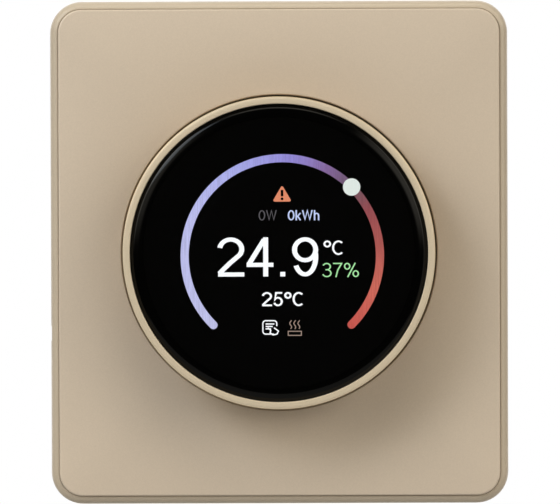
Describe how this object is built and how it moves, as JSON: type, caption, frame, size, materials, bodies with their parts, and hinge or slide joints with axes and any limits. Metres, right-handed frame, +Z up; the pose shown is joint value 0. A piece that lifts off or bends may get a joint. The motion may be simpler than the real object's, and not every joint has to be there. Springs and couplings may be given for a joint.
{
  "type": "wall thermostat",
  "caption": "Rotary wall thermostat: a rectangular plate with a raised round dial that turns and presses around a black glass display, and a flush wiring box behind.",
  "frame": {"origin": "on the wall plane, midway between the two wall-box screws", "axes": "+Z up along the plate's height, +X to the right seen from the room, -Y out of the wall towards the room"},
  "size_m": [0.086, 0.0485, 0.0944],
  "materials": {
    "champagne_plastic": "satin metallic paint",
    "champagne_metal": "fine brushed, champagne anodised",
    "grey_plastic": "fine moulded grain",
    "black_plastic": "fine moulded grain",
    "black_glass": "polished tinted glass, opaque",
    "display": "black display cell",
    "zinc_steel": "zinc plated",
    "white_pom": "natural acetal",
    "board_green": "solder mask",
    "board_black": "matt solder mask",
    "relay_blue": "moulded",
    "tape_yellow": "polyester tape",
    "varistor_blue": "epoxy coat",
    "fuse_brown": "moulded",
    "terminal_green": "moulded",
    "flex_amber": "polyimide film"
  },
  "bodies": {
    "base": {"mounting_yoke": "zinc_steel", "rear_housing": "grey_plastic", "terminal_block": "terminal_green", "power_board": "board_green", "power_cover": "grey_plastic", "relay": "relay_blue", "transformer": "tape_yellow", "bulk_capacitor": "black_plastic", "varistor": "varistor_blue", "fuse": "fuse_brown", "bus_socket": "black_plastic", "terminal_screw_1": "zinc_steel", "terminal_screw_2": "zinc_steel", "terminal_screw_3": "zinc_steel", "terminal_screw_4": "zinc_steel", "terminal_screw_5": "zinc_steel", "terminal_screw_6": "zinc_steel", "power_board_screw_1": "zinc_steel", "power_board_screw_2": "zinc_steel", "yoke_screw_1": "zinc_steel", "yoke_screw_2": "zinc_steel", "yoke_screw_3": "zinc_steel", "yoke_screw_4": "zinc_steel", "wall_screw_1": "zinc_steel", "wall_screw_2": "zinc_steel"},
    "front_unit": {"surround_frame": "champagne_plastic", "front_panel": "champagne_plastic", "front_housing": "black_plastic", "main_board": "board_black", "radio_module": "zinc_steel", "display_socket": "white_pom", "climate_sensor": "black_plastic", "backup_cell": "zinc_steel", "buzzer": "black_plastic", "pin_header": "black_plastic", "encoder_body": "zinc_steel", "press_switch": "zinc_steel", "board_screw_1": "zinc_steel", "board_screw_2": "zinc_steel", "board_screw_3": "zinc_steel", "board_screw_4": "zinc_steel"},
    "knob_core": {"display_carrier": "black_plastic", "lcd_module": "display", "display_flex": "flex_amber", "glass_gasket": "black_plastic", "cover_glass": "black_glass", "return_spring_1": "zinc_steel", "return_spring_2": "zinc_steel", "return_spring_3": "zinc_steel", "guide_screw_1": "zinc_steel", "guide_screw_2": "zinc_steel", "guide_screw_3": "zinc_steel"},
    "knob_dial": {"knob_ring": "champagne_metal", "ring_gear": "black_plastic", "glide_washer": "white_pom"},
    "encoder_rotor": {"encoder_shaft": "zinc_steel", "drive_pinion": "white_pom"},
    "switch_button": {"switch_plunger": "black_plastic"}
  },
  "joints": [
    {"name": "front_unit_release", "type": "slide", "parent": "base", "child": "front_unit", "axis": [0, -1, 0], "range_m": [0, 0.03]},
    {"name": "knob_press", "type": "slide", "parent": "front_unit", "child": "knob_core", "axis": [0, 1, 0], "range_m": [0, 0.0005], "stiffness_N_per_m": 1000, "springref_m": -0.002, "deforming": ["return_spring_1", "return_spring_2", "return_spring_3", "display_flex"]},
    {"name": "knob_turn", "type": "hinge", "parent": "knob_core", "child": "knob_dial", "pos_m": [0, -0.015, 0], "axis": [0, -1, 0], "continuous": true},
    {"name": "encoder_turn", "type": "hinge", "parent": "front_unit", "child": "encoder_rotor", "pos_m": [0.01299, -0.0125, 0.0075], "axis": [0, -1, 0], "continuous": true},
    {"name": "switch_travel", "type": "slide", "parent": "front_unit", "child": "switch_button", "axis": [0, 1, 0], "range_m": [0, 0.0005]}
  ],
  "couplings": [
    {"joint": "encoder_turn", "follows": "knob_turn", "ratio": 3},
    {"joint": "switch_travel", "follows": "knob_press", "ratio": 1}
  ]
}
